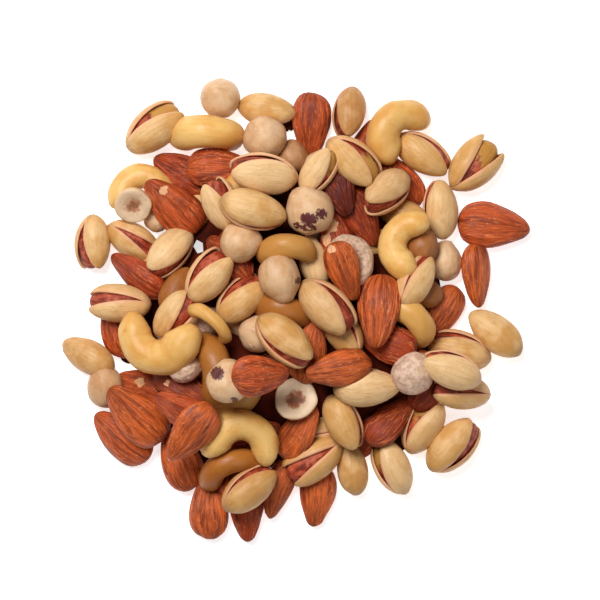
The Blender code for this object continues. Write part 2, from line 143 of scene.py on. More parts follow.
# level, x, y, turn, roll, pitch, gape, size: turn is where the open tip looks, roll is how far
# the split turns from straight up to the left of that, gape is the angle between the shells
PISTACHIOS = (
    (1, 154, 129, 40, 46, 0, 22, 1.04),
    (1, 267, 110, -8, 90, 0, 0, 0.92),
    (1, 349, 113, -100, -74, 14, 24, 0.86),
    (2, 422, 154, -32, 58, 0, 14, 0.98),
    (1, 473, 166, 47, -8, 0, 27, 0.99),
    (1, 440, 210, 96, 68, 0, 12, 0.95),
    (3, 386, 192, 230, 74, 34, 15, 1.00),
    (2, 352, 161, -38, 28, 0, 24, 0.98),
    (1, 318, 173, 52, -66, 0, 16, 0.82),
    (3, 264, 175, 172, -45, 0, 17, 1.08),
    (3, 253, 211, -14, -80, 0, 8, 1.08),
    (2, 222, 206, 106, -58, 16, 22, 0.88),
    (1, 93, 242, -93, -48, 0, 25, 0.88),
    (2, 132, 240, -32, 10, 0, 16, 0.88),
    (2, 171, 252, -130, 62, 0, 16, 0.98),
    (1, 177, 290, 60, 90, 0, 0, 0.80),
    (2, 121, 303, 176, 0, 0, 16, 0.98),
    (2, 177, 316, 50, -16, 0, 22, 0.92),
    (2, 209, 277, 54, 30, 0, 26, 0.96),
    (2, 89, 356, 150, 90, 0, 0, 0.93),
    (3, 241, 299, 45, 35, 0, 24, 0.94),
    (3, 284, 339, -44, -65, 0, 12, 1.08),
    (3, 326, 306, -45, 30, 0, 18, 1.08),
    (2, 342, 330, 120, -20, 0, 14, 0.92),
    (2, 414, 282, 62, 24, 0, 7, 0.95),
    (1, 495, 333, 142, 90, 0, 0, 1.02),
    (1, 459, 350, 162, -60, 0, 14, 1.04),
    (2, 450, 369, 160, -54, 0, 17, 0.98),
    (1, 461, 391, 172, -12, 0, 12, 0.95),
    (1, 366, 387, 3, 90, 0, 0, 1.05),
    (2, 249, 488, 38, 66, 0, 12, 1.00),
    (2, 314, 459, 212, -6, 0, 21, 1.00),
    (3, 343, 421, -62, 50, 0, 14, 0.94),
    (1, 352, 468, 100, 90, 0, 0, 0.87),
    (1, 392, 467, 118, 55, 0, 18, 0.93),
    (1, 422, 425, 66, 55, 0, 20, 0.98),
    (1, 452, 446, 45, -52, 0, 20, 1.03),
    (1, 314, 262, 105, 90, 0, 0, 0.85),
    (1, 200, 216, 100, 90, 0, 0, 0.80),
    (1, 402, 214, -10, 90, 0, 0, 0.80),
)

# level, x, y, turn, roll, size, thickness: the hollow side looks to turn minus a quarter turn
CASHEWS = (
    (2, 395, 127, 45, -22, 0.94, 1.12),
    (1, 141, 184, 6, 12, 0.89, 0.95),
    (3, 158, 347, 169, 0, 1.13, 1.04),
    (1, 285, 250, 5, -75, 0.82, 0.98),
    (1, 284, 309, -15, -75, 0.88, 1.00),
    (1, 357, 257, -60, 10, 0.80, 0.75),
    (3, 400, 243, 76, 0, 0.93, 1.02),
    (1, 412, 320, -50, -60, 0.86, 1.02),
    (2, 214, 322, -42, -88, 0.88, 0.50),
    (1, 213, 366, -75, -75, 1.00, 1.00),
    (3, 243, 433, -10, 0, 1.10, 0.92),
    (1, 230, 465, 20, -62, 0.96, 0.82),
    (2, 209, 134, -3, -80, 1.00, 1.05),
)

# level, x, y, turn, pitch, size, length: turn is where the pointed end looks
HAZELNUTS = (
    (1, 220, 98, 140, 50, 0.98, 1.00),
    (2, 265, 138, 90, 60, 1.08, 1.00),
    (3, 309, 211, 120, 40, 1.16, 1.02),
    (2, 242, 243, 0, 10, 0.98, 1.00),
    (1, 257, 333, 150, 20, 0.90, 1.00),
    (1, 412, 372, 60, 20, 1.02, 1.06),
    (1, 229, 380, 90, 20, 1.02, 1.02),
    (1, 445, 261, 92, 0, 0.82, 1.16),
    (1, 106, 386, 100, 14, 0.92, 1.14),
    (1, 186, 366, 0, 0, 0.80, 1.00),
    (1, 208, 320, 60, 0, 0.74, 1.00),
    (3, 280, 279, -78, 10, 1.02, 1.14),
    (1, 292, 157, 90, 0, 0.80, 1.00),
    (1, 422, 246, 60, 0, 0.82, 1.00),
    (1, 158, 218, 30, 0, 0.68, 1.00),
    (1, 428, 294, 0, 0, 0.72, 1.00),
)

# level, x, y, turn, pitch, size: half nuts that lie with the cut face up
HAZELNUT_HALVES = (
    (2, 134, 207, 60, 12, 0.92),
    (3, 296, 398, 48, 0, 1.04),
)

# kind, level, x, y, turn, roll, pitch, size, and one more number: an almond's width, how many
# degrees a pistachio gapes, a cashew's thickness or a hazelnut's length
Nut = namedtuple("Nut", "kind level x y turn roll pitch size extra")


def nuts_in_view():
    """Every nut that shows, lowest level first."""
    nuts = [Nut("almond", *row[:5], 0, *row[5:]) for row in ALMONDS]
    nuts += [Nut("pistachio", *row[:6], row[7], row[6]) for row in PISTACHIOS]
    nuts += [Nut("cashew", *row[:5], 0, *row[5:]) for row in CASHEWS]
    nuts += [Nut("hazelnut", *row[:4], 0, *row[4:]) for row in HAZELNUTS]
    nuts += [Nut("half", *row[:4], 0, *row[4:], 1) for row in HAZELNUT_HALVES]
    return sorted(nuts, key=lambda nut: nut.level)


def hidden_nuts():
    """The bottom layer, spread like sunflower seeds, clear of where the surface shows through."""
    draw = random.Random(CARPET_SEED)
    nuts = []
    for index in range(CARPET_COUNT):
        reach = CARPET_RADIUS / GRID_STEP * math.sqrt((index + 0.5) / CARPET_COUNT)
        x = GRID_CENTRE[0] + reach * math.cos(index * GOLDEN_ANGLE)
        y = GRID_CENTRE[1] - reach * math.sin(index * GOLDEN_ANGLE)
        turn, roll = draw.uniform(0, 360), draw.uniform(-20, 20)
        if min(math.hypot(x - clear_x, y - clear_y) for clear_x, clear_y in CLEAR_SPOTS) < CLEAR_REACH:
            continue
        kind = CARPET_KINDS[index % len(CARPET_KINDS)]
        extra = 0 if kind == "pistachio" else 1
        nuts.append(Nut(kind, 0, x, y, turn, roll, 0, CARPET_SIZE, extra))
    return nuts


def cashew_blobs(size, thickness):
    """A cashew as four ellipsoids along its bend."""
    bend = CASHEW_BEND_RADIUS * size
    fat = CASHEW_THICKNESS * size * thickness / 2
    for share in (-1, -0.4, 0.4, 1):
        angle = CASHEW_HALF_SWEEP * share
        middle = (math.sin(angle) * bend, (math.cos(angle) - CASHEW_MIDDLE) * bend, 0)
        yield middle, (fat * 1.15, fat * 1.15, fat)


def felt_by_neighbours(nut):
    """What a nut's neighbours feel: ellipsoids, each a middle and three half sizes."""
    if nut.kind == "cashew":
        return list(cashew_blobs(nut.size, nut.extra))
    length, wide, high = (side * nut.size / 2 for side in LYING_SIZES[nut.kind])
    if nut.kind == "half":
        return [((0, 0, -high / 2), (length, wide, high / 2))]
    if nut.kind == "almond":
        wide *= nut.extra
    if nut.kind == "hazelnut":
        length *= nut.extra
    return [((0, 0, 0), (length, wide, high))]


# The height field: the top of everything laid so far, on cells of one millimetre

CELLS = np.arange(-FIELD_HALF, FIELD_HALF + 1) * MM
FIELD_X, FIELD_Y = np.meshgrid(CELLS, CELLS, indexing="ij")


def grid_place(x, y):
    """Where a point of the layout grid lies, in metres."""
    return (x - GRID_CENTRE[0]) * GRID_STEP, (GRID_CENTRE[1] - y) * GRID_STEP


def spans(blobs, turned, place, shrink):
    """Lowest and highest z of the ellipsoids over each cell, measured from the nut's middle."""
    low = np.full(FIELD_X.shape, np.inf)
    high = np.full(FIELD_X.shape, -np.inf)
    for middle, halves in blobs:
        offset = turned @ np.array(middle)
        inverse = turned @ np.diag(1 / (np.array(halves) * shrink) ** 2) @ turned.T
        dx = FIELD_X - place[0] - offset[0]
        dy = FIELD_Y - place[1] - offset[1]
        across = inverse[0, 2] * dx + inverse[1, 2] * dy
        flat = inverse[0, 0] * dx**2 + 2 * inverse[0, 1] * dx * dy + inverse[1, 1] * dy**2
        inside = across**2 - inverse[2, 2] * (flat - 1)
        root = np.sqrt(np.clip(inside, 0, None))
        there = inside > 0
        low = np.where(there, np.minimum(low, offset[2] - (across + root) / inverse[2, 2]), low)
        high = np.where(there, np.maximum(high, offset[2] + (root - across) / inverse[2, 2]), high)
    return low, high


def lean_on(field, covered):
    """The turn that lays a nut along the slope of what it covers."""
    x, y, z = FIELD_X[covered], FIELD_Y[covered], field[covered]
    plane = np.stack([x, y, np.ones_like(x)], axis=1)
    slope = np.linalg.lstsq(plane, z, rcond=None)[0][:2] * LEAN_SHARE
    steep = float(np.hypot(*slope))
    if steep > MOST_SLOPE:
        slope = slope * MOST_SLOPE / steep
    normal = Vector((-slope[0], -slope[1], 1)).normalized()
    return Vector((0, 0, 1)).rotation_difference(normal).to_matrix()


def settle(field, nut):
    """Drops a nut on what lies under it, raises the field and returns the matrix that places it."""
    place = grid_place(nut.x, nut.y)
    blobs = felt_by_neighbours(nut)
    own = (
        Matrix.Rotation(math.radians(nut.turn), 3, "Z")
        @ Matrix.Rotation(-math.radians(nut.pitch), 3, "Y")
        @ Matrix.Rotation(-math.radians(nut.roll), 3, "X")
    )
    low, _ = spans(blobs, np.array(own), place, SQUEEZE)
    turned = lean_on(field, np.isfinite(low)) @ own
    low, high = spans(blobs, np.array(turned), place, SQUEEZE)
    whole_low, _ = spans(blobs, np.array(turned), place, 1.0)
    covered = np.isfinite(low)
    on_nuts = float(np.quantile(field[covered] - low[covered], SINK_SHARE))
    on_floor = -float(whole_low.min()) - FLOOR_SINK
    lift = max(on_nuts, on_floor)
    field[covered] = np.maximum(field[covered], high[covered] + lift)
    return Matrix.Translation((*place, lift)) @ turned.to_4x4()


@functools.cache
def settled_heap():
    """Each nut with the matrix that places it, hidden ones first."""
    reach = np.hypot(FIELD_X, FIELD_Y) / MOUND_RADIUS
    field = MOUND_HEIGHT * np.clip(1 - reach**2, 0, None)
    return [(nut, settle(field, nut)) for nut in hidden_nuts() + nuts_in_view()]


# Where a skin has rubbed off or a dark scrap has stayed, on the layout grid: x, y, reach
BARE_SPOTS = ((165, 191, 6), (141, 382, 6), (331, 226, 8), (326, 240, 6), (331, 250, 5), (168, 382, 4))
DARK_SPOTS = (
    (304, 219, 6), (312, 220, 7), (321, 215, 7), (297, 226, 4), (305, 229, 4), (314, 229, 4),
    (219, 372, 8), (236, 398, 4), (298, 281, 4),
)
# Nuts that differ from the rest of their kind
WAXY_NUTS = ((357, 257), (412, 373), (186, 366), (208, 320))
PATCHY_NUTS = ((134, 207), (257, 333))
PALE_NUTS = (
    (299, 431), (193, 431), (441, 315), (338, 368), (344, 271), (476, 275), (314, 262), (264, 175),
    (318, 173), (366, 387), (171, 252), (392, 467), (450, 369), (222, 206), (309, 352), (209, 134),
)
GREEN_KERNELS = ((153, 127), (473, 164), (317, 173), (353, 161), (422, 425), (391, 468))
# Nuts that are painted darker, partly for a darker toast and partly as painted shade where they lie deep
# in the heap: x, y, how much
TOASTED_AND_SHADED_NUTS = (
    (337, 188, 1.0), (360, 217, 0.5), (184, 175, 0.35), (311, 126, 0.3), (177, 290, 1.0),
    (284, 309, 0.9), (285, 250, 0.4), (280, 279, 0.2), (230, 465, 1.0), (213, 366, 0.9),
    (422, 246, 1.0), (292, 157, 0.65), (428, 294, 1.0), (106, 386, 0.4), (430, 388, 0.65),
    (386, 192, 0.2), (349, 113, 0.5), (326, 306, 0.2), (352, 468, 0.2), (89, 356, 0.2),
    (249, 488, 0.2), (395, 127, 0.2), (158, 347, 0.12), (284, 339, 0.08),
)
LISTED_REACH = 4  # how near to its listed place a nut's middle lies, in grid steps
DEEP_SHADE_SHARE = 0.9  # an almond painted darker than this, as painted shade, has no light ridges
PATCHY_CHALK = 0.38
WAXY_CHALK = 0.9

CONTACT = 0.05 * MM  # a nut that lies on the floor is flat below this height
PLUMP = 1.05  # makes up for what smoothing takes off a cashew
# How much each kind swells and dents, as a share of its size
ALMOND_SWELL = 0.018
PISTACHIO_SWELL = 0.012
CASHEW_SWELL = 0.02
HAZELNUT_SWELL = 0.022
# Ridges along a nut: about how many, and how deep
ALMOND_RIDGES = (18, 0.24 * MM)
KERNEL_RIDGES = (9, 0.2 * MM)
HAZELNUT_RIDGES = (7, 0.18 * MM)
# A kernel is wider in a shell that gapes wider
LEAST_GAPE = 1  # degrees
WIDE_GAPE = 25
KERNEL_WIDTH = 0.84
KERNEL_WIDENS = 0.26
# The grain of a nut changes slowly along it and fast around it
GRAIN_ALONG = 0.06
GRAIN_AROUND = 2.6

# The mound that shows between the nuts, painted dark as shade
MOUND_BALL_RADIUS = 50 * MM
MOUND_FLATNESS = 0.36
MOUND_CUT = 0.5 * MM
MOUND_FOOT = 0.3 * MM
MOUND_BUMPS = 8 * MM
MOUND_BUMP_HEIGHT = 6 * MM
# Dark gaps past the mound's edge, where only shade lies between the nuts, each filled by a lobe of the
# dark mound as painted shade, on the layout grid: x, y, reach
SHADE_LOBE_SPOTS = (
    (278, 455, 15), (146, 315, 15), (203, 455, 15), (394, 439, 15), (170, 431, 12),
    (130, 353, 11), (288, 124, 8),
)
LOBE_FLATNESS = 0.8
# Shafts through the mound, where the floor shows
CLEAR_RADIUS = 2.3 * MM
SHAFT_DEPTH = 100 * MM
SHAFT_TURN = 0.3  # radians
SHAFT_SQUASH = (0.8, 1.1, 1)

# The stage: each light has its place, its width in metres and its power
FLOOR_WIDTH = 4
FLOOR_GLOW = 0.8
WORLD_STRENGTH = 0.08
KEY_LIGHT = ("key", (-0.32, 0.5, 1.05), 0.6, 16.6)
FILL_LIGHT = ("fill", (0.5, -0.45, 1.0), 0.7, 2.5)
GRID_WIDTH = 600
GRID_MIDDLE = (300, 300)
CAMERA_HEIGHT = 2.0
SENSOR = 36  # millimetres

Model = namedtuple("Model", "points straight corners totals rim inside")


# Modelling by hand: each kind of nut is made once from a primitive


def deselect_all():
    if bpy.context.mode != "OBJECT":
        bpy.ops.object.mode_set(mode="OBJECT")
    bpy.ops.object.select_all(action="DESELECT")


def everywhere(_):
    return True


@contextmanager
def editing(obj, test=everywhere):
    """Edit mode with the points that pass the test selected, and nothing else."""
    bpy.ops.object.mode_set(mode="EDIT")
    bpy.ops.mesh.select_mode(type="VERT")
    bpy.ops.mesh.select_all(action="DESELECT")
    bpy.ops.object.mode_set(mode="OBJECT")
    for vert in obj.data.vertices:
        vert.select = test(vert.co)
    bpy.ops.object.mode_set(mode="EDIT")
    yield
    bpy.ops.object.mode_set(mode="OBJECT")


def modify(obj, kind, **settings):
    modifier = obj.modifiers.new(kind.lower(), kind)
    for name, value in settings.items():
        setattr(modifier, name, value)
    bpy.ops.object.modifier_apply(modifier=modifier.name)


def combine(obj, operation, other):
    """Adds the other object to this one or cuts it out, and removes it."""
    bpy.context.view_layer.objects.active = obj
    modify(obj, "BOOLEAN", operation=operation, object=other)
    bpy.data.objects.remove(other)


def ball(around, along, radius):
    """A ball with its poles on X."""
    deselect_all()
    bpy.ops.mesh.primitive_uv_sphere_add(
        segments=around, ring_count=along, radius=radius, rotation=(0, math.pi / 2, 0)
    )
    bpy.ops.object.transform_apply(location=True, rotation=True, scale=True)
    return bpy.context.object


def scale_all(obj, x, y, z):
    with editing(obj):
        bpy.ops.transform.resize(value=(x, y, z), center_override=(0, 0, 0))


def egg(around, along, length, width, height):
    """A ball that is scaled to three sizes."""
    obj = ball(around, along, length / 2)
    scale_all(obj, 1, width / length, height / length)
    return obj


def draw_out(obj, beyond, move, reach, falloff="SHARP"):
    """Pulls the end beyond this x, and less and less of what is around it."""
    with editing(obj, lambda point: point.x * beyond > beyond * beyond):
        bpy.ops.transform.translate(
            value=move,
            use_proportional_edit=True,
            proportional_size=reach,
            proportional_edit_falloff=falloff,
        )


def fit(obj, length, width, thickness):
    """Brings a nut to its named sizes, centred on the origin."""
    points = points_of(obj)
    low, high = points.min(axis=0), points.max(axis=0)
    with editing(obj):
        bpy.ops.transform.translate(value=tuple(-(low + high) / 2))
        sizes = np.array((length, width, thickness)) / (high - low)
        bpy.ops.transform.resize(value=tuple(sizes), center_override=(0, 0, 0))


def points_of(obj):
    points = np.empty(len(obj.data.vertices) * 3)
    obj.data.vertices.foreach_get("co", points)
    return points.reshape(-1, 3)


def weights_of(obj, group):
    """How far each point belongs to a vertex group, 0 where there is none."""
    weights = np.zeros(len(obj.data.vertices))
    if group in obj.vertex_groups:
        number = obj.vertex_groups[group].index
        for vert in obj.data.vertices:
            weights[vert.index] = sum(part.weight for part in vert.groups if part.group == number)
    return weights


def take(obj, straight=None):
    """Reads a finished model into arrays and removes its object."""
    mesh = obj.data
    corners = np.empty(len(mesh.loops), np.int32)
    mesh.loops.foreach_get("vertex_index", corners)
    totals = np.empty(len(mesh.polygons), np.int32)
    mesh.polygons.foreach_get("loop_total", totals)
    points = points_of(obj)
    model = Model(
        points,
        points if straight is None else straight,
        corners,
        totals,
        weights_of(obj, "rim"),
        weights_of(obj, "inside"),
    )
    bpy.data.objects.remove(obj)
    return model


@functools.cache
def almond_model():
    length, width, thickness = bpy.context.scene.nut_sizes.almond
    obj = egg(48, 17, length, width, thickness)
    modify(obj, "SIMPLE_DEFORM", deform_method="TAPER", deform_axis="X", factor=-0.50)
    draw_out(obj, 0.40 * length, (0.05 * length, 0, 0), 0.26 * length)
    draw_out(obj, -0.46 * length, (0.015 * length, 0, 0), 0.2 * length, "SMOOTH")
    fit(obj, length, width, thickness)
    return take(obj)


@functools.cache
def hazelnut_model():
    length, width, thickness = bpy.context.scene.nut_sizes.hazelnut
    obj = egg(32, 17, length, width, thickness)
    draw_out(obj, 0.45 * length, (0.06 * length, 0, 0), 0.22 * length)
    draw_out(obj, -0.46 * length, (0.03 * length, 0, 0), 0.3 * length, "SMOOTH")
    fit(obj, length, width, thickness)
    return take(obj)


@functools.cache
def hazelnut_half_model():
    """Cut along its length, with the hollow where the two halves of the kernel met."""
    length, width, thickness = bpy.context.scene.nut_sizes.hazelnut
    obj = egg(32, 18, length, width, thickness)
    with editing(obj):
        bpy.ops.mesh.bisect(plane_co=(0, 0, 0), plane_no=(0, 0, 1), use_fill=True, clear_outer=True)
    with editing(obj, lambda point: point.z > -0.01 * thickness):
        bpy.ops.mesh.select_mode(type="FACE")
        for inset, move in ((0.06, 0.02), (0.16, -0.03), (0.08, -0.06)):
            bpy.ops.mesh.inset(thickness=inset * length)
            bpy.ops.transform.translate(value=(0, 0, move * thickness))
        bpy.ops.mesh.poke()
        bpy.ops.mesh.select_mode(type="VERT")
    modify(obj, "SUBSURF", levels=1, render_levels=1)
    points = points_of(obj)
    flat = np.hypot(points[:, 0] / length, points[:, 1] / width)
    cut = np.where((points[:, 2] > -0.2 * thickness) & (flat < 0.47), 1.0, 0.0)
    return take(obj)._replace(inside=cut, rim=cut * np.clip(1 - flat / 0.3, 0, 1))


@functools.cache
def shell_model():
    """One half of a pistachio's shell, the half on the +Y side, with the thickness of its wall."""
    sizes = bpy.context.scene.nut_sizes
    length, width, across = sizes.pistachio
    obj = egg(16, 15, length, across, width)
    modify(obj, "SIMPLE_DEFORM", deform_method="TAPER", deform_axis="X", factor=-0.14)
    draw_out(obj, 0.46 * length, (0.03 * length, 0, 0), 0.25 * length)
    draw_out(obj, -0.46 * length, (-0.02 * length, 0, 0), 0.2 * length)
    fit(obj, length, across, width)
    with editing(obj):
        bpy.ops.mesh.bisect(plane_co=(0, 0, 0), plane_no=(0, -1, 0), clear_outer=True)
    obj.vertex_groups.new(name="inside")
    obj.vertex_groups.new(name="rim")
    modify(
        obj,
        "SOLIDIFY",
        thickness=sizes.shell_wall,
        offset=-1,
        shell_vertex_group="inside",
        rim_vertex_group="rim",
    )
    modify(obj, "SUBSURF", levels=1, render_levels=1)
    return take(obj)


@functools.cache
def kernel_model():
    length, width, across = bpy.context.scene.nut_sizes.pistachio
    obj = ball(28, 15, 0.45 * length)
    scale_all(obj, 1, 1.02 * across / length, 0.98 * width / length)
    draw_out(obj, 0.36 * length, (0.03 * length, 0, 0), 0.2 * length)
    return take(obj)


@functools.cache
def cashew_model():
    """A straight capsule, fatter at one end, bent round."""
    sizes = bpy.context.scene.nut_sizes
    fat, bend = sizes.cashew_thickness / 2, sizes.cashew_bend
    reach = CASHEW_HALF_SWEEP * bend
    obj = ball(28, 15, fat)
    for side in (1, -1):
        with editing(obj, lambda point: point.x * side > 0):
            bpy.ops.transform.translate(value=(side * reach, 0, 0))
    with editing(obj, lambda point: abs(point.x) < reach + 0.25 * fat):
        bpy.ops.mesh.select_mode(type="EDGE")
        bpy.ops.mesh.select_all(action="DESELECT")
    for edge in obj.data.edges:
        ends = [obj.data.vertices[index].co.x for index in edge.vertices]
        edge.select = min(ends) < 0 < max(ends)
    bpy.ops.object.mode_set(mode="EDIT")
    bpy.ops.mesh.subdivide(number_cuts=15)
    bpy.ops.mesh.select_mode(type="VERT")
    bpy.ops.object.mode_set(mode="OBJECT")
    modify(obj, "SIMPLE_DEFORM", deform_method="TAPER", deform_axis="X", factor=-0.22)
    draw_out(obj, reach + 0.9 * fat, (0.02 * reach, 0, 0), 0.6 * fat, "SMOOTH")
    straight = points_of(obj)
    extent = straight[:, 0].max() - straight[:, 0].min()
    modify(obj, "SIMPLE_DEFORM", deform_method="BEND", deform_axis="Z", angle=extent / bend)
    modify(obj, "SMOOTH", factor=0.5, iterations=6)
    return take(obj, straight)


# Copies: each nut is laid in place with its own swellings, and one kind is one mesh


def smooth_step(value, low, high):
    share = np.clip((value - low) / (high - low), 0, 1)
    return share * share * (3 - 2 * share)


def near_spots(points, spots):
    """1 in the middle of a spot on the layout grid, 0 beyond its reach."""
    share = np.zeros(len(points))
    for x, y, reach in spots:
        dx = points[:, 0] / GRID_STEP - (x - GRID_CENTRE[0])
        dy = points[:, 1] / GRID_STEP - (GRID_CENTRE[1] - y)
        share = np.maximum(share, 1 - smooth_step(np.hypot(dx, dy), 0.5 * reach, 1.3 * reach))
    return share


def uneven(points, draw, amount):
    """Swells and dents a nut a little, so that no two are alike."""
    low, high = points.min(axis=0), points.max(axis=0)
    middle = (high + low) / 2
    unit = (points - middle) / ((high - low) / 2)
    swell = np.zeros(len(points))
    for wave, share in ((1.6, 1.0), (2.7, 0.6), (4.4, 0.3)):
        axis = draw.normal(size=3)
        axis /= np.linalg.norm(axis)
        swell += share * np.sin(wave * math.pi * (unit @ axis) + draw.uniform(0, math.tau))
    return middle + (points - middle) * (1 + amount * swell)[:, None]


def ridges(points, draw, count, depth):
    """Ridges that run the length of a nut and meet at its ends."""
    angle = np.arctan2(points[:, 2], points[:, 1])
    along = points[:, 0] / np.abs(points[:, 0]).max()
    height = np.zeros(len(points))
    for number in (count - 3, count, count + 4):
        shift = draw.uniform(0, math.tau) + draw.uniform(-1, 1) * along
        height += np.cos(number * angle + shift)
    across = np.hypot(points[:, 1], points[:, 2])
    fade = np.clip(across / across.max() * 2, 0, 1)
    push = depth * fade * height / 3 / np.maximum(across, 0.2 * MM)
    return points * np.stack([np.ones_like(push), 1 + push, 1 + push], axis=1)


def placed(points, place):
    """A nut's points where it lies, flat where it presses on the floor."""
    world = points @ np.array(place.to_3x3()).T + np.array(place.translation)
    world[:, 2] = np.maximum(world[:, 2], CONTACT)
    return world


class Batch:
    """The joined copies of one kind of nut, gathered as arrays."""

    def __init__(self):
        self.points, self.corners, self.totals = [], [], []
        self.values = defaultdict(list)
        self.count = 0

    def add(self, nut, model, world, draw, tint, mark):
        """One copy: its points where it lies, and what its finish needs."""
        offset = draw.uniform(0, 60, size=3)
        angle = np.arctan2(model.straight[:, 2], model.straight[:, 1])
        along = model.straight[:, 0] / MM * GRAIN_ALONG
        grain = np.stack([along, GRAIN_AROUND * np.cos(angle), GRAIN_AROUND * np.sin(angle)], axis=1)
        values = {
            "own": model.straight / MM + offset,
            "grain": grain + offset,
            "tint": np.full(len(world), tint),
            "mark": np.full(len(world), mark),
            # how far a nut is darkened: a darker toast, and painted shade where it lies deep
            "toast_and_shade": np.full(len(world), toast_and_shade_of(nut)),
            "rim": model.rim,
            "inside": model.inside,
        }
        for name, value in values.items():
            self.values[name].append(value)
        self.points.append(world)
        self.corners.append(model.corners + self.count)
        self.totals.append(model.totals)
        self.count += len(world)

    def finish(self, name, finish, slot):
        """Joins the copies into one piece that stands for the solid heap."""
        points = np.concatenate(self.points)
        corners = np.concatenate(self.corners)
        totals = np.concatenate(self.totals)
        mesh = bpy.data.meshes.new(name)
        mesh.vertices.add(len(points))
        mesh.vertices.foreach_set("co", points.ravel())
        mesh.loops.add(len(corners))
        mesh.loops.foreach_set("vertex_index", corners)
        mesh.polygons.add(len(totals))
        mesh.polygons.foreach_set("loop_start", np.cumsum(totals) - totals)
        mesh.polygons.foreach_set("loop_total", totals)
        mesh.polygons.foreach_set("use_smooth", np.ones(len(totals), bool))
        for key, parts in self.values.items():
            values = np.concatenate(parts).astype(np.float32)
            kind = "FLOAT_VECTOR" if values.ndim == 2 else "FLOAT"
            attribute = mesh.attributes.new(key, kind, "POINT")
            attribute.data.foreach_set("vector" if values.ndim == 2 else "value", values.ravel())
        mesh.update(calc_edges=True)
        mesh.validate()
        mesh.materials.append(finish)
        obj = bpy.data.objects.new(name, mesh)
        bpy.context.scene.collection.objects.link(obj)
        dress(obj, slot)


def dress(obj, slot):
    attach(obj, BODY)
    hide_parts(NODE)


def nuts_of(kind):
    """The nuts of one kind, each with its own random draws and the matrix that places it."""
    for number, (nut, place) in enumerate(settled_heap()):
        if nut.kind == kind:
            yield np.random.default_rng(number), nut, place


def in_the_light(nut):
    """0 for a nut that lies deep between others, 1 for one on top of the heap or at its edge: how far
    its colour is painted lit rather than shaded.
    """
    reach = math.hypot(nut.x - GRID_CENTRE[0], nut.y - GRID_CENTRE[1])
    return max((nut.level - 1) / 2, float(smooth_step(reach, 110, 190)))


def is_listed(nut, spots):
    return any(math.hypot(nut.x - spot[0], nut.y - spot[1]) < LISTED_REACH for spot in spots)


# How far a listed nut is darkened, for its toast and as painted shade
def toast_and_shade_of(nut):
    return max((spot[2] for spot in TOASTED_AND_SHADED_NUTS if is_listed(nut, [spot])), default=0)


# Finishes


class Wire:
    """A shader socket that sums and scales like a number."""

    def __init__(self, finish, socket):
        self.finish = finish
        self.socket = socket

    def maths(self, operation, *values):
        sockets = dict(enumerate(values))
        return self.finish.add("Math", {"operation": operation}, sockets)

    def __add__(self, other):
        return self.maths("ADD", self, other)

    def __sub__(self, other):
        return self.maths("SUBTRACT", self, other)

    def __rsub__(self, other):
        return self.maths("SUBTRACT", other, self)

    def __mul__(self, other):
        return self.maths("MULTIPLY", self, other)

    __radd__ = __add__
    __rmul__ = __mul__

    def above(self, low, high):
        """0 up to low, 1 from high on, smooth between."""
        sockets = {"Value": self, "From Min": low, "From Max": high}
        return self.finish.add("MapRange", {"interpolation_type": "SMOOTHSTEP"}, sockets)


class Finish:
    """A material whose nodes are added one expression at a time."""

    def __init__(self, name, base, dim=1, shine=0.32):
        self.material = bpy.data.materials.new(name)
        self.material.use_nodes = True
        self.tree = self.material.node_tree
        self.shader = self.tree.nodes["Principled BSDF"]
        self.shader.inputs["Specular IOR Level"].default_value = shine
        self.colour = colour_of(base, dim)

    def add(self, kind, settings=None, sockets=None, result=0):
        """One node of any type: its settings first, then the values or wires of its sockets."""
        node = self.tree.nodes.new("ShaderNode" + kind)
        for name, value in (settings or {}).items():
            setattr(node, name, value)
        for name, value in (sockets or {}).items():
            self.plug(node.inputs[name], value)
        return Wire(self, node.outputs[result])

    def plug(self, socket, value):
        if isinstance(value, Wire):
            self.tree.links.new(value.socket, socket)
        else:
            socket.default_value = value

    def read(self, name, result="Fac"):
        return self.add("Attribute", {"attribute_name": name}, result=result)

    def spaces(self):
        """A nut's own space in millimetres, and the space of its grain."""
        return self.read("own", "Vector"), self.read("grain", "Vector")

    def noise(self, vector, scale, detail=2.0, roughness=0.5):
        sockets = {"Vector": vector, "Scale": scale, "Detail": detail, "Roughness": roughness}
        return self.add("TexNoise", {"noise_dimensions": "3D"}, sockets)

    def crests(self, height, width):
        """Thin lines, where a noise passes through its middle value."""
        return (height - 0.5).maths("ABSOLUTE", height - 0.5).above(width, 0)

    def coat(self, share, name, dim=1, blend="MIX"):
        """Lays a share of a named colour over the colours so far."""
        settings = {"data_type": "RGBA", "blend_type": blend}
        sockets = {0: share, 6: self.colour, 7: colour_of(name, dim)}
        self.colour = self.add("Mix", settings, sockets, result=2)

    def chalked(self, own, height):
        """Waxy patches where the height passes its middle. Returns their relief."""
        wax = height.above(0.68, 0.92)
        pits = self.noise(own, 0.45, 4, 0.7)
        self.coat(wax * 0.9, "chalk")
        self.coat(wax * (1 - pits.above(0.40, 0.58)) * 0.55, "scar")
        return wax * pits * 1.4

    def toasted_and_shaded(self, *settings):
        """Ends the finish of a nut, darkened as far as the nut is toasted and painted with shade."""
        # The toast colour multiplies in painted shade as well as toast
        self.coat(self.read("toast_and_shade"), "toast_and_shade", blend="MULTIPLY")
        return self.done(*settings)

    def done(self, roughness, relief=None, depth=0, strength=1):
        self.plug(self.shader.inputs["Base Color"], self.colour)
        self.plug(self.shader.inputs["Roughness"], roughness)
        if relief:
            sockets = {"Height": relief, "Distance": depth, "Strength": strength}
            self.plug(self.shader.inputs["Normal"], self.add("Bump", None, sockets))
        return self.material


def colour_of(name, dim=1):
    """A colour from the panel, dimmed to a share of its light."""
    colour = getattr(bpy.context.scene.nut_colours, name)
    return (*(part * dim for part in colour[:3]), 1)


